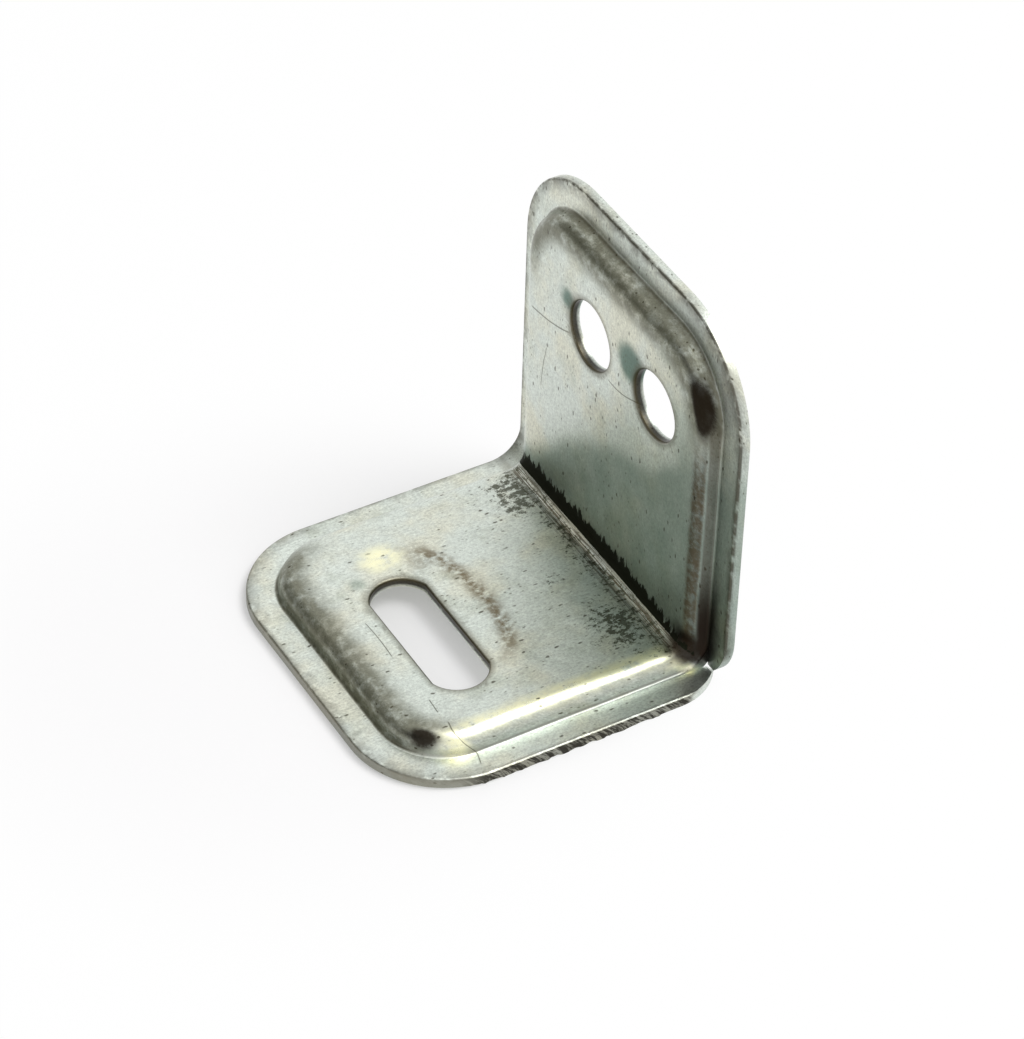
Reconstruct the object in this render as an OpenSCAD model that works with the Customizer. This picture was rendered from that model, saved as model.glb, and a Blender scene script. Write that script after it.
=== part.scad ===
// Angle bracket pressed and folded from one piece of zinc-plated steel sheet.
// A raised panel stiffens both legs and runs through the fold, and a flat rim goes round its foot.
// X runs along the fold, the flat leg points to -Y and the upright leg to +Z.
// The origin is the middle of the part's footprint, on the surface that the flat leg lies on.

/* [Sheet] */
// Width of the bracket, along the fold
bracket_w = 30; // [20:0.5:60]
// Length of the flat leg, from the upright leg's back
flat_len = 27.8; // [20:0.1:80]
// Height of the upright leg, from the flat leg's underside
upright_len = 31.3; // [20:0.1:80]
// Thickness of the sheet
sheet_t = 0.8; // [0.5:0.1:2]
// Radius that the punch rolls onto the upper edges of the rim, the holes and the slot
edge_r = 0.2; // [0.05:0.05:0.4]
// Radius of the flat leg's two front corners
flat_corner_r = 7.7; // [4:0.1:14]
// Radius of the upright leg's two top corners
upright_corner_r = 8.5; // [4:0.1:14]

/* [Raised panel] */
// Width of the flat rim round the panel
rim_w = 2.1; // [1:0.1:5]
// Height of the panel above the rim
panel_rise = 1.6; // [0.8:0.1:3]
// Slope of the panel's wall, measured from the rim
wall_slope = 75; // [45:1:85]
// Radius of the soft shoulder between the wall and the panel
shoulder_r = 1.3; // [1.1:0.1:3]
// Radius of the crease at the wall's foot
foot_r = 0.3; // [0.1:0.1:1]

/* [Fold] */
// Inside radius of the rim at the fold
fold_r = 2.6; // [2:0.1:6]
// Radius of the rims' rounded ends at the notch
notch_r = 5; // [4:0.1:8]
// Distance from the fold's corner to where the rims' ends start to curve in
notch_start = 3.5; // [2.5:0.1:6]
// Half the width of the mitred slit at the root of the notch
notch_gap = 0.1; // [0.05:0.05:0.3]

/* [Holes] */
// Diameter of the two screw holes in the upright leg
hole_d = 5.5; // [3:0.1:8]
// Distance between the centres of the two screw holes
hole_pitch = 9; // [7:0.5:16]
// Height of the screw holes above the flat leg's underside
hole_up = 21.3; // [10:0.1:24]
// Length of the slot in the flat leg
slot_len = 12.9; // [8:0.1:20]
// Width of the slot
slot_w = 4.7; // [3:0.1:8]
// Radius of the slot's ends, a little more than half its width
slot_end_r = 2.5; // [1.6:0.1:5]
// Distance from the slot's middle line to the upright leg's back
slot_out = 18; // [12:0.1:24]
// How far the holes and the slot sit from the middle, towards the notch
holes_off = 1.4; // [-3:0.1:3]

/* [Hidden] */
$fn = 96;
half_w = bracket_w / 2;
foot_x = half_w - rim_w;
// Plan distance from the start of the foot crease to the start of the flat panel
wall_run = (shoulder_r + foot_r) * sin(wall_slope)
    + (panel_rise - (shoulder_r + foot_r) * (1 - cos(wall_slope))) / tan(wall_slope);
// Leg lengths from the line where the two rims' inner faces would cross
flat_reach = flat_len - sheet_t;
upright_reach = upright_len - sheet_t;
mid_y = (flat_reach - sheet_t) / 2;
// Overshoot of a cut past the faces that it goes through
past = 0.5;
// How far the corners of the piece that a rounding takes away lie out, in radii
corner_reach = 1.8;

zinc = [0.72, 0.74, 0.70];

function at_angle(middle, radius, turn) = middle + radius * [-sin(turn), cos(turn)];

// Everything under one face of the sheet, across its whole width, with a far and a near rim.
// depth is how deep the face lies in the sheet: 0 is the panel's side, sheet_t the hollow side.
module under_face(depth, bottom, far_rim, near_rim) {
    top = panel_rise - depth;
    foot_arc = foot_r + depth;
    shoulder_arc = shoulder_r - depth;
    shoulder_x = foot_x - wall_run;
    foot_end = at_angle([-foot_x, foot_r], foot_arc, 180 + wall_slope);
    crest = foot_end + (top - foot_end[1]) * [1 / tan(wall_slope), 1];
    difference() {
        polygon([[-foot_x - far_rim, bottom], [-foot_x - far_rim, -depth], [-foot_x, -depth],
            foot_end, crest, [-crest[0], crest[1]], [-foot_end[0], foot_end[1]],
            [foot_x, -depth], [foot_x + near_rim, -depth], [foot_x + near_rim, bottom]]);
        for (side = [0, 1]) mirror([side, 0]) {
            translate([-foot_x, foot_r]) circle(r = foot_arc);
            past_shoulder([-shoulder_x, panel_rise - shoulder_r], shoulder_arc);
        }
    }
}

// The corner that rounding the shoulder takes away
module past_shoulder(middle, radius) {
    far = corner_reach * radius;
    difference() {
        polygon([middle, at_angle(middle, far, wall_slope), at_angle(middle, far, wall_slope / 2),
            at_angle(middle, far, 0)]);
        translate(middle) circle(r = radius);
    }
}

// The corner that the punch rolls off the sheet's upper edge, with the edge at zero
module rolled_off() {
    difference() {
        translate([-past, -edge_r]) square([past + edge_r, past + edge_r]);
        translate([edge_r, -edge_r]) circle(r = edge_r);
    }
}

// Section of the sheet across the legs, rim to rim
module sheet_section(near_rim = rim_w) {
    difference() {
        under_face(0, -sheet_t - past, rim_w, near_rim);
        under_face(sheet_t, -sheet_t - 2 * past, rim_w + past, near_rim + past);
        translate([-half_w, 0]) rolled_off();
        if (near_rim > 0) mirror([1, 0]) translate([-half_w, 0]) rolled_off();
    }
}

// The outer part of the section, from zero to the cut edge
module edge_section(reach) {
    intersection() {
        translate([reach - half_w, 0]) sheet_section();
        translate([0, -sheet_t - past]) square([reach + past, panel_rise + sheet_t + 2 * past]);
    }
}

module corner(corner_r) {
    rotate_extrude(angle = 90) edge_section(corner_r);
}

// The near rim's end beside the fold, mitred against the other leg's
module rim_end() {
    difference() {
        translate([0, sheet_t, 0]) rotate([90, 0, 0]) linear_extrude(sheet_t + fold_r) intersection() {
            sheet_section();
            translate([foot_x, -sheet_t - past]) square([rim_w + past, sheet_t + 2 * past]);
        }
        rotate([45, 0, 0]) translate([foot_x - past, -notch_gap, -2 * sheet_t])
            cube([rim_w + 2 * past, 2 * sheet_t, 4 * sheet_t]);
    }
}

// Rounds the near rim's end into the notch
module notch_rounding() {
    translate([0, 0, -sheet_t - past]) linear_extrude(sheet_t + 2 * past) difference() {
        translate([foot_x, -notch_start]) square([rim_w + past, notch_start + sheet_t + past]);
        translate([half_w - notch_r, -notch_start]) circle(r = notch_r);
    }
}

// One leg, lying flat, from the fold to its rounded end
module leg(reach, corner_r) {
    corner_x = half_w - corner_r;
    corner_y = corner_r - reach;
    difference() {
        union() {
            translate([0, -fold_r, 0]) rotate([90, 0, 0])
                linear_extrude(reach - corner_r - fold_r) sheet_section();
            translate([corner_x, corner_y, 0]) rotate([90, 0, -90])
                linear_extrude(2 * corner_x) edge_section(corner_r);
            translate([corner_x, corner_y, 0]) rotate([0, 0, -90]) corner(corner_r);
            translate([-corner_x, corner_y, 0]) rotate([0, 0, 180]) corner(corner_r);
            rim_end();
        }
        notch_rounding();
    }
}

// The fold carries the panel round at a tighter radius than the rim, which stops at the notch
module fold() {
    translate([0, -fold_r, fold_r]) rotate([0, 90, 0]) rotate_extrude(angle = 90)
        translate([fold_r, 0]) rotate(90) sheet_section(0);
}

// What a round punch takes out of the sheet, with the edge that it rolls, and the upper face at zero
module round_punch(r) {
    translate([0, 0, -sheet_t - past]) cylinder(r = r, h = sheet_t + 2 * past);
    rotate_extrude() translate([r, 0]) rolled_off();
}

module screw_hole(x) {
    translate([x, -panel_rise, hole_up - sheet_t]) rotate([90, 0, 0]) round_punch(hole_d / 2);
}

// Section of the slot across its length, with its rolled edges at the top
module slot_section() {
    side = slot_w / 2;
    difference() {
        polygon([[-side, -sheet_t - past], [side, -sheet_t - past], [side, -edge_r], [side + edge_r, -edge_r],
            [side + edge_r, past], [-side - edge_r, past], [-side - edge_r, -edge_r], [-side, -edge_r]]);
        for (end = [-1, 1]) translate([end * (side + edge_r), -edge_r]) circle(r = edge_r);
    }
}

// A length of the slot, centred, without its ends
module slot_run(length) {
    translate([-length / 2, 0, 0]) rotate([90, 0, 90]) linear_extrude(length) slot_section();
}

module slot() {
    end_x = slot_len / 2 - slot_end_r;
    translate([holes_off, sheet_t - slot_out, panel_rise]) {
        slot_run(2 * end_x);
        for (side = [-1, 1]) intersection() {
            translate([side * end_x, 0, 0]) round_punch(slot_end_r);
            slot_run(slot_len + 2 * past);
        }
    }
}

module bracket() {
    color(zinc) translate([0, mid_y, sheet_t]) difference() {
        union() {
            leg(flat_reach, flat_corner_r);
            mirror([0, 1, 1]) leg(upright_reach, upright_corner_r);
            fold();
        }
        for (side = [-1, 1]) screw_hole(holes_off + side * hole_pitch / 2);
        slot();
    }
}

bracket();
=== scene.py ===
"""Looks of the pressed angle bracket: a finely divided copy of the CAD plate with the marks of the
press and of wear, painted highlights, painted shade and painted dark reflections, worn zinc plating,
a pale floor, soft studio light and the photograph's camera."""

import math

import bmesh
import bpy
import numpy as np
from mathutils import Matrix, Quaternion, Vector


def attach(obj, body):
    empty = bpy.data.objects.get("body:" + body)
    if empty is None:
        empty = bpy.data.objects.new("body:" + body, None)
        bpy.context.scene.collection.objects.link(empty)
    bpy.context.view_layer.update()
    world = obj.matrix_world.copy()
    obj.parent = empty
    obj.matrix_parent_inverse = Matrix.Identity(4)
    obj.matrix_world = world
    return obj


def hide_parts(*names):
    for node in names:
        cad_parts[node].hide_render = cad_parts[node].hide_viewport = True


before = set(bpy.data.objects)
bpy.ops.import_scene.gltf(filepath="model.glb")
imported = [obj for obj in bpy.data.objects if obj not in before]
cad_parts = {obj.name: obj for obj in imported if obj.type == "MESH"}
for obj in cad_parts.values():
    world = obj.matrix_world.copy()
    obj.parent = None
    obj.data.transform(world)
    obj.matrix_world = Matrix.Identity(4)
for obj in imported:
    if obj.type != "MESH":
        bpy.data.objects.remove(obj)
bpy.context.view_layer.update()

MM = 0.001
NODE = "bracket"

# The plate's sizes and places, in millimetres
SHEET = 0.8
PANEL_RISE = 1.6
HALF_W = 15.0
FRONT_Y = -13.9
TOP_Z = 31.3
RIM_FACE_Y = 13.1
SLOT_MIDDLE = (1.4, -4.1)
SLOT_HALF = (6.45, 2.35)
HOLES = ((-3.1, 21.3), (5.9, 21.3))
HOLE_R = 2.75
FLAT_CORNER_R = 7.7
UPRIGHT_CORNER_R = 8.5
# y + z is this where the legs meet
BEND = 13.9
# How far the burr's common teeth hang down
BURR_DROP = 0.15

# The longest edges that the divided mesh may have, in millimetres, and where dividing stops
STEP_AT_CUTS = 0.4
STEP_ON_PANEL = 0.7
STEP_ON_RIM = 1.5
STEP_HIDDEN = 3.0
MOST_TRIANGLES = 150000

# The zinc's colours, from 0 to 255 as seen on screen
PLATING = (212, 219, 211)
WARM_PLATING = (214, 215, 199)
DULL_PLATING = (172, 178, 162)
# Tarnish, also laid on as painted dark reflection and painted shade
TARNISH_AND_SHADE = (112, 134, 123)
# Brown stain, also laid on as painted dark reflection
BROWN_STAIN_AND_SHADE = (118, 106, 82)
DARK_STREAK = (84, 74, 54)
LIGHT_STREAK = (186, 178, 156)
# Painted highlight
PAINTED_HIGHLIGHT = (255, 253, 214)
# Painted dark reflection on the shoulders
SHOULDER_REFLECTION = (112, 112, 96)
BLOTCH = (62, 64, 46)
SPECK = (62, 58, 42)
DUST = (92, 92, 74)
SCRATCH = (88, 86, 72)
# Painted shade in the creases
CREASE_SHADE = (70, 64, 50)
# Painted dark reflection on the shoulders' corners
DARK_REFLECTION = (26, 17, 8)
# Painted shade in the recesses
RECESS_SHADE = (32, 21, 14)
GRIME = (34, 36, 26)
ROLLED_EDGE = (66, 60, 46)
CUT_EDGE = (118, 114, 100)
SHEARED_EDGE = (40, 38, 30)
# Dark punched metal with painted shade inside the openings
PUNCHED_WALL_SHADE = (28, 22, 15)
PUNCHED_LIP = (84, 76, 54)

# Scratches between two unrolled places: start, end, sag and width, in millimetres
SCRATCHES = (
    ((-11.4, 16.1), (-5.6, 17.4), -0.25, 0.1),
    ((-0.4, 16.9), (3.9, 17.7), -0.3, 0.08),
    ((-1.9, -19.3), (2.6, -19.3), 0.1, 0.06),
    ((7.6, -19.1), (9.2, -19.2), 0.0, 0.06),
    ((10.2, -19.0), (14.0, -19.9), 0.05, 0.07),
    ((-9.5, 9.5), (-8.8, 14.0), 0.1, 0.05),
)
# Middle line of the brown arc beside the slot, in x and y
BROWN_ARC = (
    (-8.6, -2.4), (-7.4, -0.6), (-5, 0.7), (-2.2, 1.3),
    (0.5, 1.5), (3.4, 1.2), (5.6, 0.5), (7.4, -0.9),
)

# The studio's light, where 1 is white, and the distance of its dark cards in metres
ROOM_LEVEL = 0.6
CARD_DISTANCE = 0.3
# Where the floor keeps the part's shadow best, and from where to where it fades, in metres
SHADOW_MIDDLE = (-0.004, -0.014, 0)
SHADOW_INNER, SHADOW_OUTER = 0.012, 0.034

# The photograph's camera, found from the part's own edges, in degrees, metres and millimetres of lens
CAMERA_AZIMUTH = 58.69
CAMERA_ELEVATION = 41.40
CAMERA_ROLL = 1.91
CAMERA_DISTANCE = 0.32124
CAMERA_AIM = (0.00208, 0.00232, 0.01135)
CAMERA_LENS = 152.3


def smooth(x, low, high):
    """0 below low, 1 above high, and smooth between; low may be the larger."""
    t = np.clip((x - low) / (high - low), 0, 1)
    return t * t * (3 - 2 * t)


def bump(x, middle, half):
    """1 at middle, falling softly to 0 at half the width on both sides."""
    return smooth(np.abs(x - middle), half, 0)


def wave_noise(p, scale, seed, octaves=3):
    """Smooth noise, mostly from -1 to 1, as a sum of sine waves in seeded directions."""
    rng = np.random.default_rng(seed)
    total, weight = np.zeros(len(p)), 0.0
    for octave in range(octaves):
        for _ in range(6):
            direction = rng.normal(size=3)
            direction *= 2 * math.pi * 2**octave / scale / np.linalg.norm(direction)
            total += np.sin(p @ direction + rng.uniform(0, 2 * math.pi)) * 0.5**octave
            weight += 0.25**octave
    return total / math.sqrt(weight)


def unit(v):
    return v / np.maximum(np.linalg.norm(v, axis=-1, keepdims=True), 1e-12)


# The plate's mesh


def cad_triangles():
    """Points in millimetres and triangles of the CAD plate, with its faces joined."""
    bm = bmesh.new()
    bm.from_mesh(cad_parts[NODE].data)
    bmesh.ops.remove_doubles(bm, verts=bm.verts, dist=1e-7)
    bmesh.ops.triangulate(bm, faces=bm.faces)
    bm.verts.index_update()
    points = np.array([v.co for v in bm.verts]) / MM
    tris = np.array([[v.index for v in f.verts] for f in bm.faces])
    bm.free()
    return points, tris


def corner_normals(points, tris, crease=44):
    """A normal for each corner of each triangle, from the triangles round it within the crease angle.

    Triangles of one plane weigh as much as the whole plane, so that large flat faces stay flat.
    """
    a, b, c = (points[tris[:, i]] for i in range(3))
    cross = np.cross(b - a, c - a)
    face = unit(cross)
    area = np.linalg.norm(cross, axis=1)
    plane = np.round(np.column_stack([face * 200, (face * a).sum(1) * 20])).astype(int)
    _, which = np.unique(plane, axis=0, return_inverse=True)
    weight = np.bincount(which.ravel(), area)[which.ravel()]
    order = np.argsort(tris.ravel(), kind="stable")
    ends = np.cumsum(np.bincount(tris.ravel(), minlength=len(points)))
    normals = np.zeros((len(tris) * 3, 3))
    for corners in np.split(order, ends[:-1]):
        near = face[corners // 3]
        alike = near @ near.T > math.cos(math.radians(crease))
        normals[corners] = (alike * weight[corners // 3]) @ near
    return unit(normals)


def split_corners(points, tris, normals):
    """One vertex for each pair of a point and a normal, so that a crease keeps two normals."""
    key = np.column_stack([tris.ravel(), np.round(normals * 500)]).astype(int)
    _, first, which = np.unique(key, axis=0, return_index=True, return_inverse=True)
    return points[tris.ravel()[first]], which.reshape(-1, 3), normals[first]


def divide(points, tris, normals, longest):
    """Halves edges that are longer than longest(midpoints) allows, the longest first.

    It stops before that once there are more than MOST_TRIANGLES.
    """
    while True:
        ends = np.sort(tris[:, [0, 1, 1, 2, 2, 0]].reshape(-1, 2), axis=1)
        keys, which = np.unique(ends[:, 0] * len(points) + ends[:, 1], return_inverse=True)
        edges = np.column_stack([keys // len(points), keys % len(points)])
        middle = points[edges].mean(axis=1)
        ratio = np.linalg.norm(points[edges[:, 1]] - points[edges[:, 0]], axis=1) / longest(middle)
        marked = ratio > max(1.0, 0.6 * ratio.max())
        if not marked.any() or len(tris) > MOST_TRIANGLES:
            return points, tris, normals
        new = np.full(len(edges), -1)
        new[marked] = len(points) + np.arange(marked.sum())
        points = np.concatenate([points, middle[marked]])
        normals = np.concatenate([normals, unit(normals[edges[marked]].sum(axis=1))])
        mid = new[which.ravel()].reshape(-1, 3)
        count = (mid >= 0).sum(axis=1)
        parts = [tris[count == 0]]
        turns = [(np.roll(tris, -turn, axis=1), np.roll(mid, -turn, axis=1)) for turn in range(3)]
        for t, m in turns:
            pick = (count == 1) & (m[:, 0] >= 0)
            a, b, c, ab = *t[pick].T, m[pick, 0]
            parts += [np.column_stack(p) for p in ((a, ab, c), (ab, b, c))]
        for t, m in turns:
            pick = (count == 2) & (m[:, 2] < 0)
            a, b, c, ab, bc = *t[pick].T, m[pick, 0], m[pick, 1]
            parts += [np.column_stack(p) for p in ((ab, b, bc), (a, ab, bc), (a, bc, c))]
        a, b, c, ab, bc, ca = *tris[count == 3].T, *mid[count == 3].T
        parts += [np.column_stack(p) for p in ((a, ab, ca), (ab, b, bc), (ca, bc, c), (ab, bc, ca))]
        tris = np.concatenate(parts)


# Distances on the plate


def along(p):
    """How far along the legs: below 0 on the flat leg, above 0 on the upright one."""
    return p[:, 1] + p[:, 2] - BEND


def slot_distance(p):
    """Distance outward from the slot's edge."""
    q = np.abs(p[:, :2] - SLOT_MIDDLE) - (SLOT_HALF[0] - SLOT_HALF[1], 0)
    return np.hypot(np.maximum(q[:, 0], 0), q[:, 1]) - SLOT_HALF[1]


def hole_distance(p):
    """Distance outward from the nearer screw hole's edge."""
    return np.min([np.hypot(p[:, 0] - x, p[:, 2] - z) for x, z in HOLES], axis=0) - HOLE_R


def edge_distance(x, out, corner_r):
    """Distance inward from a leg's outline; out is the distance from the leg's end line."""
    qx, qy = np.abs(x) - (HALF_W - corner_r), corner_r - out
    inside = np.maximum(np.maximum(qx, qy), 0)
    round_part = np.hypot(np.maximum(qx, 0), np.maximum(qy, 0))
    return corner_r - np.where((qx > 0) & (qy > 0), round_part, inside)


def outline_distance(p):
    """Distance inward from the outline of the leg that the point is on."""
    flat = edge_distance(p[:, 0], p[:, 1] - FRONT_Y, FLAT_CORNER_R)
    upright = edge_distance(p[:, 0], TOP_Z - p[:, 2], UPRIGHT_CORNER_R)
    return np.where(along(p) < 0, flat, upright)


def opening_distance(p):
    """Distance from the slot's or a hole's wall, on the leg that the point is on."""
    return np.abs(np.where(along(p) < 0, slot_distance(p), hole_distance(p)))


# Dents and waves, as a height over the sheet's own face


def relief(p):
    """Waves inside the rim, and the pull-in round the slot and the holes."""
    s = along(p)
    height = 0.022 * wave_noise(p, 11, 3) + 0.006 * wave_noise(p, 3.4, 4)
    height *= smooth(outline_distance(p), 0.5, 3)
    around_slot = np.where(s < 0, slot_distance(p), 9)
    around_hole = np.where(s > 0, hole_distance(p), 9)
    height -= 0.10 * smooth(around_slot, 2.6, 0) * (0.5 + 0.5 * smooth(p[:, 1], -6, -2))
    height -= 0.07 * smooth(around_hole, 1.8, 0)
    return height


def relief_slope(p, step=0.05):
    """How steeply the relief climbs along each axis."""
    climb = [relief(p + step * axis) - relief(p - step * axis) for axis in np.eye(3)]
    return np.stack(climb, axis=1) / (2 * step)


def burr(p):
    """How far the cut edge's lower corner hangs down along the flat leg's near side."""
    place = p * (0.2, 1, 0.2)
    ragged = 0.5 + 0.5 * wave_noise(place, 1.3, 8) + 0.35 * wave_noise(place, 0.5, 9, 1)
    side = smooth(p[:, 0], 14.2, 14.9) * smooth(p[:, 1], 8.6, 7.4) * smooth(p[:, 1], -9, -7)
    low = smooth(p[:, 2], 0.25, 0.0)
    return BURR_DROP * np.clip(ragged, 0, 1.6) * side * low


def spacing(p):
    """The longest edge that the mesh may have at a place."""
    s, across = along(p), p[:, 0]
    near_cut = (across > 14.2) & (s < -2)
    in_fold = (np.abs(s) < 2.4) & (np.abs(across) < 12.2)
    fine = (opening_distance(p) < 0.4) | in_fold | near_cut
    upper = np.where(s < 0, p[:, 2] > SHEET - 0.3, p[:, 1] < RIM_FACE_Y + 0.3)
    coarse = np.where(outline_distance(p) < 3.9, STEP_ON_RIM, STEP_ON_PANEL)
    return np.where(upper | near_cut, np.where(fine, STEP_AT_CUTS, coarse), STEP_HIDDEN)


def build_plate():
    """The plate's mesh, its points before the relief, and how much each one faces the panel's side."""
    points, tris = cad_triangles()
    points, tris, normals = split_corners(points, tris, corner_normals(points, tris))
    points, tris, normals = divide(points, tris, normals, spacing)
    up = np.where((along(points) < 0)[:, None], (0.0, 0.0, 1.0), (0.0, -1.0, 0.0))
    facing = (normals * up).sum(axis=1, keepdims=True)
    slope = relief_slope(points)
    slope -= (slope * normals).sum(axis=1, keepdims=True) * normals
    moved = points + up * relief(points)[:, None]
    moved[:, 2] -= burr(points)
    mesh = bpy.data.meshes.new("bracket_plate")
    mesh.from_pydata(moved * MM, [], tris)
    mesh.shade_smooth()
    mesh.normals_split_custom_set_from_vertices(unit(normals - slope * facing))
    return mesh, points, facing[:, 0]


plate_mesh, places, facing = build_plate()
plate = bpy.data.objects.new("bracket_plate", plate_mesh)
bpy.context.scene.collection.objects.link(plate)

# Where each kind of mark lies on the plate, one number for each vertex

x, y, z = places.T
s = along(places)
rise = np.where(s < 0, z - SHEET, RIM_FACE_Y - y)
flat_leg, upright = smooth(s, 0.6, -0.6), smooth(s, -0.3, 0.6)
panel = smooth(rise, 1.2, 1.55)
slot_gap, hole_gap, border = slot_distance(places), hole_distance(places), outline_distance(places)
# 1 on the panel's side and on the cut edges, 0 on the hollow side, which has no marks of its own
front = smooth(facing, -0.22, -0.05)


def add_mark(name, *marks):
    """Keeps the strongest of the given marks at each vertex."""
    kept = (np.clip(np.maximum.reduce(marks), 0, 1) * front).astype(np.float32)
    plate_mesh.attributes.new(name, "FLOAT", "POINT").data.foreach_set("value", kept)


def add_place(name, *axes):
    place = np.column_stack(axes).astype(np.float32).ravel()
    plate_mesh.attributes.new(name, "FLOAT_VECTOR", "POINT").data.foreach_set("vector", place)


def near_line(u, v, line):
    """Distance from points (u, v) to a line through the given corners."""
    best = np.full(len(u), 1e9)
    for (ax, ay), (bx, by) in zip(line, line[1:]):
        dx, dy = bx - ax, by - ay
        t = np.clip(((u - ax) * dx + (v - ay) * dy) / (dx * dx + dy * dy), 0, 1)
        best = np.minimum(best, np.hypot(u - ax - t * dx, v - ay - t * dy))
    return best


def patch(u, v, middle, reach, core):
    """1 in the core of an ellipse round middle, falling softly to 0 at its border; core is a share."""
    return smooth(np.hypot((u - middle[0]) / reach[0], (v - middle[1]) / reach[1]), 1, core)


# Unrolled place: across the sheet, along the legs, and height over the rim
add_place("leaf", x, s, rise)
add_mark("front", np.ones(len(places)))

# Dark green tarnish beside the holes and at the slot's end; painted dark reflection on the upright
# leg's foot up to a slanting line and on its near side; painted shade on the flat leg near the bend
slant = (-13, -10, -6, -2, 2, 6, 10, 13), (4.6, 5.4, 9.2, 12.3, 14.4, 15.6, 19.5, 21.0)
dark_reflection_top = np.interp(x, *slant)
low_upright_reflection = upright * smooth(z, dark_reflection_top + 1.6, dark_reflection_top - 1.6) * (0.2 + 0.8 * panel)
near_upright_reflection = upright * smooth(x, 7.6, 10.5) * smooth(z, 27, 17)
shade_by_bend = flat_leg * (0.04 + 0.42 * smooth(x, -9, 7)) * smooth(s, -7.5, -1.5) * panel
by_near_hole = upright * patch(x, z, (2.7, 22.9), (2.5, 2.5), 0.32)
by_far_hole = upright * patch(x, z, (-6.2, 22.6), (1.5, 1.5), 0.2)
slot_end = flat_leg * patch(x, y, (-5.7, -6.3), (1.1, 1.1), 0.182)
reflection_on_upright = np.maximum(0.6 * low_upright_reflection, 0.55 * near_upright_reflection)
add_mark("tarnish_and_shade", reflection_on_upright, shade_by_bend, by_near_hole, 0.9 * by_far_hole, 0.5 * slot_end)

# Brown: a stain beside the painted highlight; an arc beside the slot, stain with painted dark
# reflection of the dish's slope; and painted dark reflection on the upright leg's near wall
arc = near_line(x, y, BROWN_ARC)
arc_stain_and_reflection = flat_leg * smooth(arc, 1.1, 0.1) * smooth(x, -8.6, -6) * smooth(x, 7.8, 4.5)
near_wall = upright * smooth(x, 10.9, 11.5) * smooth(z, 25.5, 23)
near_wall_reflection = near_wall * smooth(rise, 0.86, 1.1) * smooth(rise, 1.62, 1.5) * smooth(z, 24, 18)
beside_glow = flat_leg * patch(x, y, (-6.2, -0.9), (2.4, 1.5), 0.2)
add_mark("brown_and_shade", 0.95 * arc_stain_and_reflection, 0.85 * near_wall_reflection, 0.5 * beside_glow)

# Painted shade, nearly black: in the corner at the notch, at the foot of the near wall, and over the
# near wall's painted dark reflection
notch_shade = patch(x, s, (12.2, 0.3), (2.7, 2.7), 0.37) * smooth(rise, 0.2, 0.8)
wall_foot_shade = near_wall * smooth(rise, 1.2, 0.7) * smooth(z, 12, 5) * smooth(x, 14.3, 13.1)
add_mark("recess_shade", notch_shade, wall_foot_shade, 0.55 * near_wall_reflection)

# The emboss's walls: painted shade in the creases at their foot, and grey drawn metal on the near side
# of both legs, darkened with painted shade
foot_shade = bump(rise, 0.14, 0.24) * (rise > 0.01)
near_wall_low_shade = near_wall * smooth(rise, 0.98, 0.75) * smooth(rise, 0.02, 0.12)
near_flat = flat_leg * smooth(x, 11.5, 12) * smooth(y, -9, -6.5)
add_mark("crease", 0.55 * foot_shade, 0.9 * near_wall_low_shade, 0.8 * near_flat * foot_shade)
# Drawn metal's streaks on the near walls, darkened as painted shade of the steep walls
drawn_shaded_flat = near_flat * smooth(rise, 0.2, 0.4) * smooth(rise, 1.42, 1.2)
drawn_shaded_upright = near_wall * smooth(rise, 0.7, 0.95) * smooth(rise, 1.35, 1.15)
add_mark("drawn_and_shaded", drawn_shaded_flat, drawn_shaded_upright)

# Streaks that the folding tool left along the bend
add_mark("streaks", bump(s, -0.6, 1.3) ** 0.5 * smooth(rise, 1.0, 1.3) * smooth(np.abs(x), 12.6, 11.2))

# Black grime in the bend: 0.5 on its upper line, and 0.5 more for each millimetre below it
grime_top = np.interp(x, (-12.4, -11.5, -9, 5, 9, 11.8, 12.6), (0.3, 1.5, 1.75, 1.7, 1.2, 0.7, 0.3))
in_bend = (rise > 0.9) & (s > 0.05) & (np.abs(x) < 12.6)
add_mark("grime", np.where(in_bend, 0.5 + 0.5 * (grime_top - s), 0))

# Painted highlights: beside the slot, on the front corner, along the near shoulder, and a painted
# glint at the notch
near_shoulder = smooth(np.abs(x - 11.5), 1.1, 0.2) * smooth(y, 13, 9) * smooth(y, -10, -7)
add_mark(
    "painted_highlight",
    flat_leg * patch(x, y, (-7.4, -3.4), (1.9, 2.4), 0.3),
    flat_leg * patch(x, y, (12.2, -7.9), (1.1, 1.8), 0.2),
    flat_leg * 0.95 * near_shoulder,
    0.9 * patch(x, s, (12.6, -1.4), (0.8, 1.1), 0.3) * (s < -0.5),
)

# Rolled and sheared edges: the outline's, and the walls of the openings from the punch's side inward,
# whose near-black is partly dark punched metal and partly painted shade inside the openings
cut = smooth(border, 0.12, 0.02) * smooth(rise, 0.02, -0.12)
sheared = cut * flat_leg * smooth(x, 13.8, 14.9) * smooth(y, -9.5, -6.5)
rolled = smooth(border, 0.42, 0.1) * smooth(rise, -0.3, -0.1) * (1 - 0.8 * sheared)
depth = PANEL_RISE - rise
in_wall = np.where(s > 0, np.abs(hole_gap), np.abs(slot_gap)) < 0.45
add_mark("cut", cut * (1 - upright))
add_mark("sheared", sheared)
add_mark("rolled", rolled * np.where(s > 0, 0.85, 0.6))
add_mark("punched_and_shaded", in_wall * smooth(depth, 0.0, 0.12) * smooth(depth, 0.72, 0.56))
add_mark("lip", in_wall * smooth(depth, -0.05, 0.03) * smooth(depth, 0.3, 0.12))

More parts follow.
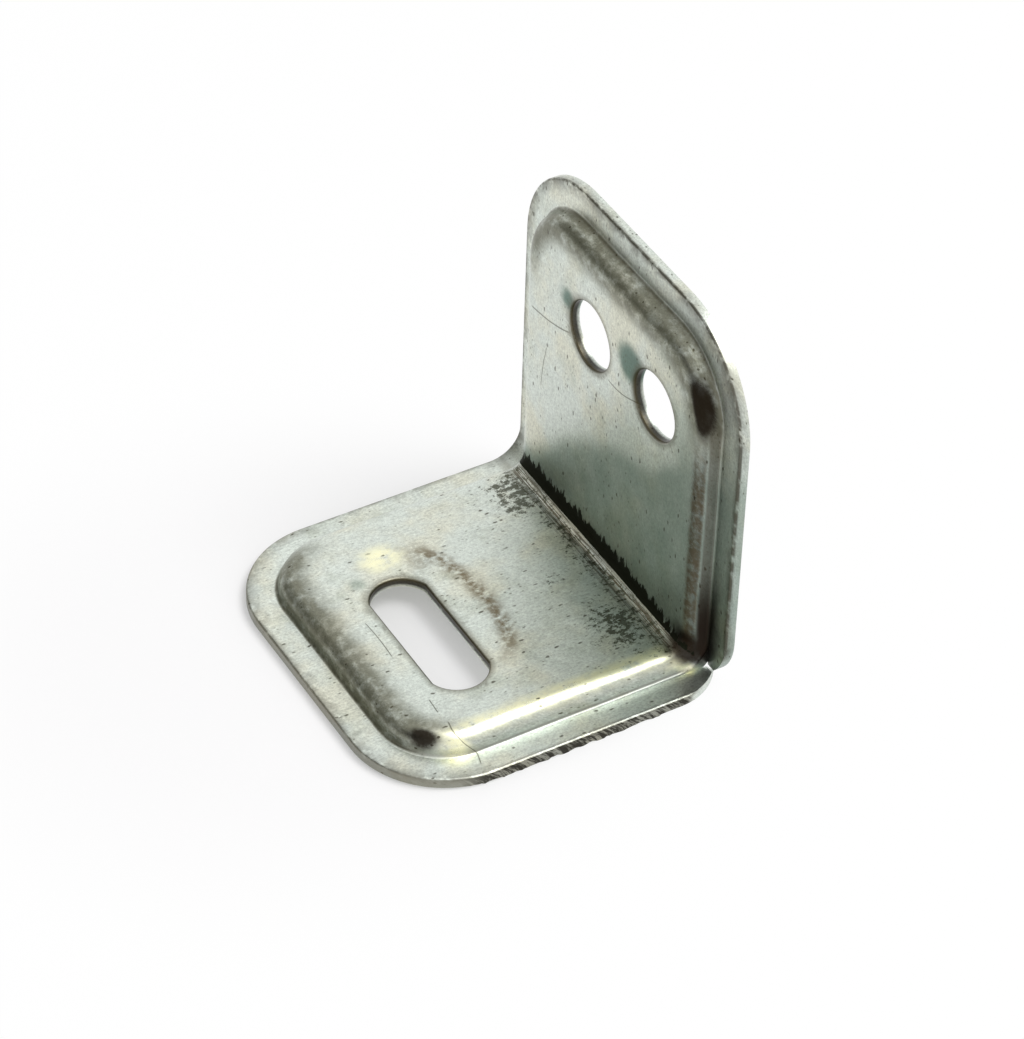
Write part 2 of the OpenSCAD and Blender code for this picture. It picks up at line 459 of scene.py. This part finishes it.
# Blotches near the bend
on_flat = flat_leg * panel
add_mark(
    "blotch",
    on_flat * patch(x, s, (-9.0, -2.4), (6.0, 4.2), 0),
    on_flat * patch(x, s, (7.4, -2.8), (6.5, 4.6), 0),
    on_flat * 0.8 * patch(x, s, (0.7, -4.7), (1.4, 1.8), 0),
    on_flat * 0.7 * smooth(s, -4.4, -1.0),
)

# Painted dark reflections on the shoulders' near corners
turn_up = np.degrees(np.arctan2(z - TOP_Z + UPRIGHT_CORNER_R, x - HALF_W + UPRIGHT_CORNER_R))
reflection_spot_up = upright * patch(turn_up, border, (24, 2.9), (38, 0.9), 0.25)
turn_flat = np.degrees(np.arctan2(y - FRONT_Y - FLAT_CORNER_R, x - HALF_W + FLAT_CORNER_R))
reflection_spot_flat = flat_leg * patch(turn_flat, border, (-47, 2.9), (22, 0.85), 0.2)
clear_of_rim = smooth(rise, 0.05, 0.4)
add_mark("dark_reflection_spot", reflection_spot_up * clear_of_rim, 0.9 * reflection_spot_flat * clear_of_rim)

# Painted dark reflections, as bands on the shoulders at the top of the upright leg and at the front of
# the flat one
past_rim = smooth(border, 2.1, 2.3)
top_reflection = past_rim * smooth(border, 5.3, 3.7) * smooth(z, 20, 24.5) * smooth(x, -13.5, -11)
front_reflection = past_rim * smooth(border, 5.6, 3.6) * smooth(y, -5, -9) * smooth(x, 12.5, 9.5)
front_reflection *= smooth(x, -13.5, -10)
add_mark("shoulder", upright * top_reflection, flat_leg * front_reflection)


# The zinc's material


class Wire:
    """A number or vector inside a material, with plain arithmetic on it."""

    def __init__(self, tree, socket):
        self.tree, self.socket = tree, socket

    def put(self, socket):
        self.tree.links.new(self.socket, socket)

    def math(self, operation, *others, swap=False):
        node = self.tree.nodes.new("ShaderNodeMath")
        node.operation = operation
        items = (others[0], self) if swap else (self, *others)
        for item, socket in zip(items, node.inputs):
            feed(socket, item)
        return Wire(self.tree, node.outputs[0])

    def __add__(self, other):
        return self.math("ADD", other)

    def __sub__(self, other):
        return self.math("SUBTRACT", other)

    def __rsub__(self, other):
        return self.math("SUBTRACT", other, swap=True)

    def __mul__(self, other):
        return self.math("MULTIPLY", other)

    def most(self, other):
        return self.math("MAXIMUM", other)

    def step(self, low, high):
        """0 below low, 1 above high, and smooth between; low may be the larger."""
        node = self.tree.nodes.new("ShaderNodeMapRange")
        node.interpolation_type = "SMOOTHSTEP"
        self.put(node.inputs["Value"])
        node.inputs["From Min"].default_value = low
        node.inputs["From Max"].default_value = high
        return Wire(self.tree, node.outputs["Result"])


def feed(socket, item):
    """Gives a socket a wire, or a plain value of its own kind."""
    if isinstance(item, Wire):
        item.put(socket)
    else:
        socket.default_value = item


def linear(colour):
    """Three numbers from 0 to 255, as seen on screen, as a shader's colour."""
    return tuple((c / 255 / 12.92) if c < 11 else ((c / 255 + 0.055) / 1.055) ** 2.4 for c in colour)


class Paint:
    """A material's nodes and its colour so far, built up by plain calls."""

    def __init__(self, name):
        self.material = bpy.data.materials.new(name)
        self.material.use_nodes = True
        self.tree = self.material.node_tree
        self.shader = self.tree.nodes["Principled BSDF"]
        self.leaf = self.mark("leaf", "Vector")
        self.colour = None

    def mark(self, name, output="Fac"):
        node = self.tree.nodes.new("ShaderNodeAttribute")
        node.attribute_name = name
        return Wire(self.tree, node.outputs[output])

    def place(self, stretch, seed):
        """The unrolled place, stretched by three factors and moved to fresh noise."""
        node = self.tree.nodes.new("ShaderNodeVectorMath")
        node.operation = "MULTIPLY_ADD"
        self.leaf.put(node.inputs[0])
        node.inputs[1].default_value = stretch
        node.inputs[2].default_value = (seed * 13.7, seed * 7.9, seed * 3.1)
        return Wire(self.tree, node.outputs[0])

    def noise(self, stretch, seed, detail=2.0, roughness=0.5):
        """Noise about 0.5; stretch is how many waves there are in a millimetre each way."""
        node = self.tree.nodes.new("ShaderNodeTexNoise")
        self.place(stretch, seed).put(node.inputs["Vector"])
        node.inputs["Scale"].default_value = 1.0
        node.inputs["Detail"].default_value = detail
        node.inputs["Roughness"].default_value = roughness
        return Wire(self.tree, node.outputs["Fac"])

    def cells(self, stretch, seed):
        """Distance to the nearest of scattered points, and that point's own random number."""
        node = self.tree.nodes.new("ShaderNodeTexVoronoi")
        self.place(stretch, seed).put(node.inputs["Vector"])
        node.inputs["Scale"].default_value = 1.0
        split = self.tree.nodes.new("ShaderNodeSeparateColor")
        self.tree.links.new(node.outputs["Color"], split.inputs[0])
        return Wire(self.tree, node.outputs["Distance"]), Wire(self.tree, split.outputs[0])

    def uneven(self, name, noise, strength, border):
        """A mark that noise about 0.5 makes uneven, but not beyond the mark's own border."""
        mark = self.mark(name)
        return mark + (noise - 0.5) * strength * mark.step(0, border)

    def base(self, colour):
        """Starts with a plain colour from 0 to 255."""
        self.colour = (*linear(colour), 1)

    def over(self, colour, amount):
        """Lays a colour from 0 to 255, or a wire, on the colour so far."""
        node = self.tree.nodes.new("ShaderNodeMix")
        node.data_type = "RGBA"
        feed(node.inputs[6], self.colour)
        feed(node.inputs[7], colour if isinstance(colour, Wire) else (*linear(colour), 1))
        amount.put(node.inputs[0])
        self.colour = Wire(self.tree, node.outputs[2])

    def shade(self, colour, amount):
        """A shader's colour times a number."""
        node = self.tree.nodes.new("ShaderNodeVectorMath")
        node.operation = "SCALE"
        feed(node.inputs[0], colour)
        amount.put(node.inputs["Scale"])
        return Wire(self.tree, node.outputs[0])

    def tint(self, colour, noise, strength):
        """A colour from 0 to 255 that grows lighter and darker with noise about 0.5."""
        return self.shade(linear(colour), (noise - 0.5) * strength + 1.0)

    def scratch(self, start, end, sag, width):
        """A thin curved scratch between two unrolled places."""
        (ax, ay), (bx, by) = start, end
        length = math.hypot(bx - ax, by - ay)
        ux, uy = (bx - ax) / length, (by - ay) / length
        split = self.tree.nodes.new("ShaderNodeSeparateXYZ")
        self.leaf.put(split.inputs[0])
        px, py = Wire(self.tree, split.outputs[0]) - ax, Wire(self.tree, split.outputs[1]) - ay
        t = (px * ux + py * uy) * (1 / length)
        off = (px * -uy + py * ux) - (t * (1 - t)) * (4 * sag)
        line = off.math("ABSOLUTE").step(width, width * 0.3)
        return line * t.step(0, 0.08) * t.step(1, 0.9)


def zinc():
    paint = Paint("worn_zinc")
    noise, mark, over = paint.noise, paint.mark, paint.over

    # The plating itself
    cloud = noise((0.3, 0.22, 0.3), 1, 5, 0.62)
    warmth = noise((0.22, 0.2, 0.22), 2, 3, 0.55)
    grain = noise((6.4, 4.8, 6.4), 3, 3, 0.75)
    hairs = noise((8.0, 1.3, 6.0), 4, 2, 0.6)
    paint.base(PLATING)
    over(WARM_PLATING, warmth.step(0.42, 0.7))
    over(DULL_PLATING, cloud.step(0.5, 0.76) * 0.6)
    paint.colour = paint.shade(paint.colour, (grain - 0.5) * 1.1 + (hairs - 0.5) * 0.5 + 1.0)

    # Drawn metal darkened with painted shade, tarnish and brown stains with painted shade and dark
    # reflections, streaks, painted highlights, the shoulders' painted dark reflections, and blotches
    over(paint.shade(paint.colour, grain * 0.5 + 0.18), mark("drawn_and_shaded") * 0.55)
    # Tarnish, with painted dark reflection and painted shade
    tarnish_and_shade = paint.uneven("tarnish_and_shade", noise((0.5, 0.35, 0.5), 5, 4, 0.6), 0.35, 0.3).step(0, 1)
    over(paint.tint(TARNISH_AND_SHADE, grain, 1.0), tarnish_and_shade)
    # Brown stains, with painted dark reflection
    brown_and_shade = mark("brown_and_shade") * noise((1.7, 1.3, 0.8), 6, 4, 0.7).step(0.3, 0.6)
    over(BROWN_STAIN_AND_SHADE, brown_and_shade)
    lines = noise((0.25, 9.0, 3.0), 7, 2, 0.6)
    over(DARK_STREAK, mark("streaks") * lines.step(0.44, 0.54) * 0.9)
    over(LIGHT_STREAK, mark("streaks") * lines.step(0.44, 0.38) * 0.7)
    # Painted highlights
    over(PAINTED_HIGHLIGHT, mark("painted_highlight") * noise((1.2, 0.8, 1.2), 8, 3, 0.6).step(0.2, 0.6))
    # The shoulders' painted dark reflections
    dark_reflection_band = mark("shoulder") * noise((0.9, 0.7, 0.9), 9, 4, 0.65).step(0.1, 0.6)
    over(paint.tint(SHOULDER_REFLECTION, grain, 1.1), dark_reflection_band * 0.92)
    blotch = (mark("blotch") * 0.3 + noise((2.4, 1.5, 2.0), 10, 4, 0.8)).step(0.7, 0.8)
    over(BLOTCH, blotch * mark("blotch").step(0, 0.15) * 0.85)

    # Short dark specks, drawn out along the leg, and finer dust among them
    wobble = (noise((5, 3, 5), 12, 1) - 0.5) * 0.3
    far, lot = paint.cells((1.7, 0.8, 1.7), 11)
    specks = (far + wobble).step(0.2, 0.08) * lot.step(0.55, 0.6)
    over(SPECK, specks * 0.8)
    far, lot = paint.cells((3.4, 1.7, 3.4), 13)
    over(DUST, (far + wobble).step(0.26, 0.1) * lot.step(0.62, 0.66) * cloud.step(0.38, 0.6) * 0.7)

    scratches = paint.scratch(*SCRATCHES[0])
    for scratch in SCRATCHES[1:]:
        scratches = scratches.most(paint.scratch(*scratch))
    scratches = scratches * mark("front")
    over(SCRATCH, scratches * 0.7)

    # Painted shade in the creases and recesses, painted dark reflections on the shoulders' corners,
    # and the grime with its jagged upper line
    over(CREASE_SHADE, mark("crease") * (grain * 0.8 + 0.4))
    over(DARK_REFLECTION, paint.uneven("dark_reflection_spot", grain, 0.5, 0.3).step(0.05, 0.8) * 0.95)
    over(RECESS_SHADE, mark("recess_shade") * 0.95)
    teeth = noise((1.8, 0.4, 0.4), 14, 3, 0.75)
    grime = paint.uneven("grime", teeth, 1.7, 0.1).step(0.5, 0.62)
    over(GRIME, grime)

    # Edges
    shear = noise((0.6, 2.6, 0.5), 15, 4, 0.8)
    over(ROLLED_EDGE, mark("rolled") * noise((1.1, 1.1, 1.1), 16, 2, 0.6).step(0.2, 0.55))
    over(CUT_EDGE, mark("cut") * (grain * 0.4 + 0.5))
    over(SHEARED_EDGE, mark("sheared") * shear.step(0.41, 0.54) * 0.95)
    # The openings' walls: dark punched metal with painted shade
    over(PUNCHED_WALL_SHADE, mark("punched_and_shaded") * (grain * 0.2 + 0.82))
    over(PUNCHED_LIP, mark("lip") * 0.75)

    rough = cloud * 0.10 + grain * 0.12 + tarnish_and_shade * 0.06 + grime * 0.25 + brown_and_shade * 0.06 + 0.25
    height = (
        grain * 0.5 + hairs * 0.35 - specks * 0.6 - scratches
        + mark("streaks") * lines * 2.2 + mark("sheared") * shear * 6.0 - grime * 0.4
    )
    bump_node = paint.tree.nodes.new("ShaderNodeBump")
    bump_node.inputs["Strength"].default_value = 1.0
    bump_node.inputs["Distance"].default_value = 0.012 * MM
    height.put(bump_node.inputs["Height"])
    paint.colour.put(paint.shader.inputs["Base Color"])
    (rough - mark("painted_highlight") * 0.08).put(paint.shader.inputs["Roughness"])
    paint.tree.links.new(bump_node.outputs[0], paint.shader.inputs["Normal"])
    paint.shader.inputs["Metallic"].default_value = 1.0
    return paint.material


plate_mesh.materials.append(zinc())
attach(plate, "root")
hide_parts(NODE)

# The studio


def light_path_white(tree, lit, amount):
    """Lays plain white over shader socket lit, for camera, glossy and transmission rays, by amount."""
    path = tree.nodes.new("ShaderNodeLightPath")
    seen = Wire(tree, path.outputs["Is Camera Ray"])
    for name in ("Is Glossy Ray", "Is Transmission Ray"):
        seen = seen.most(Wire(tree, path.outputs[name]))
    kind = "ShaderNodeBackground" if lit.node.type == "BACKGROUND" else "ShaderNodeEmission"
    white = tree.nodes.new(kind)
    white.inputs["Color"].default_value = (1, 1, 1, 1)
    white.inputs["Strength"].default_value = 1.0
    mix = tree.nodes.new("ShaderNodeMixShader")
    (seen * amount).put(mix.inputs["Fac"])
    tree.links.new(lit, mix.inputs[1])
    tree.links.new(white.outputs[0], mix.inputs[2])
    return mix.outputs[0]


world = bpy.data.worlds.new("studio")
bpy.context.scene.world = world
world.use_nodes = True
room = world.node_tree.nodes["Background"]
room.inputs["Color"].default_value = (1, 1, 1, 1)
room.inputs["Strength"].default_value = ROOM_LEVEL
background = light_path_white(world.node_tree, room.outputs[0], 1.0)
world.node_tree.links.new(background, world.node_tree.nodes["World Output"].inputs["Surface"])


def turned(obj, toward, distance):
    """Puts a lamp or card out along a direction, looking back at the part."""
    direction = Vector(toward).normalized()
    obj.location = direction * distance + Vector((0, 0, 0.01))
    obj.rotation_mode = "QUATERNION"
    obj.rotation_quaternion = direction.to_track_quat("Z", "Y")
    bpy.context.scene.collection.objects.link(obj)
    return obj


def area_light(name, toward, distance, size, watts):
    lamp = bpy.data.lights.new(name, "AREA")
    lamp.shape = "DISK"
    lamp.size = size
    lamp.energy = watts
    return turned(bpy.data.objects.new(name, lamp), toward, distance)


area_light("key_light", (0.25, 0.39, 0.89), distance=0.6, size=0.42, watts=2.0)


def sheet_mesh(name, size):
    """A square sheet with a material of its own, and that material's nodes."""
    bm = bmesh.new()
    bmesh.ops.create_grid(bm, x_segments=1, y_segments=1, size=size / 2)
    mesh = bpy.data.meshes.new(name)
    bm.to_mesh(mesh)
    bm.free()
    material = bpy.data.materials.new(name)
    material.use_nodes = True
    mesh.materials.append(material)
    return mesh, material.node_tree


def card(name, toward, size, shade):
    """A dark card that only reflections see, so that the bright metal shows its form."""
    mesh, tree = sheet_mesh(name, size)
    tree.nodes["Principled BSDF"].inputs["Base Color"].default_value = (shade, shade, shade * 0.9, 1)
    obj = turned(bpy.data.objects.new(name, mesh), toward, CARD_DISTANCE)
    obj.visible_camera = False
    obj.visible_shadow = False
    obj.visible_diffuse = False


card("dark_card_left", (-0.64, -0.68, 0.36), size=0.30, shade=0.35)
card("dark_card_front", (0.06, -0.86, 0.46), size=0.16, shade=0.02)


def floor():
    mesh, tree = sheet_mesh("floor", 6)
    shader = tree.nodes["Principled BSDF"]
    shader.inputs["Base Color"].default_value = (0.96, 0.955, 0.96, 1)
    shader.inputs["Roughness"].default_value = 0.9
    shader.inputs["Specular IOR Level"].default_value = 0.0
    # Away from the part and its shadow the floor goes over to plain white
    place = tree.nodes.new("ShaderNodeTexCoord")
    far = tree.nodes.new("ShaderNodeVectorMath")
    far.operation = "DISTANCE"
    far.inputs[1].default_value = SHADOW_MIDDLE
    tree.links.new(place.outputs["Object"], far.inputs[0])
    amount = Wire(tree, far.outputs["Value"]).step(SHADOW_INNER, SHADOW_OUTER) * 0.7 + 0.25
    surface = light_path_white(tree, shader.outputs[0], amount)
    tree.links.new(surface, tree.nodes["Material Output"].inputs["Surface"])
    obj = bpy.data.objects.new("floor", mesh)
    bpy.context.scene.collection.objects.link(obj)
    # Just under the burr's common teeth
    obj.location = (0, 0, -1.2 * BURR_DROP * MM)


floor()

# The camera

camera = bpy.data.objects.new("camera", bpy.data.cameras.new("camera"))
bpy.context.scene.collection.objects.link(camera)
azimuth, elevation = math.radians(CAMERA_AZIMUTH), math.radians(CAMERA_ELEVATION)
back = Vector(
    (
        math.sin(azimuth) * math.cos(elevation),
        -math.cos(azimuth) * math.cos(elevation),
        math.sin(elevation),
    )
)
camera.data.lens = CAMERA_LENS
camera.location = Vector(CAMERA_AIM) + back * CAMERA_DISTANCE
camera.rotation_mode = "QUATERNION"
roll = Quaternion((0, 0, 1), math.radians(CAMERA_ROLL))
camera.rotation_quaternion = (-back).to_track_quat("-Z", "Y") @ roll
camera.data.clip_start = 0.01
bpy.context.scene.camera = camera
bpy.context.scene.view_settings.view_transform = "Standard"
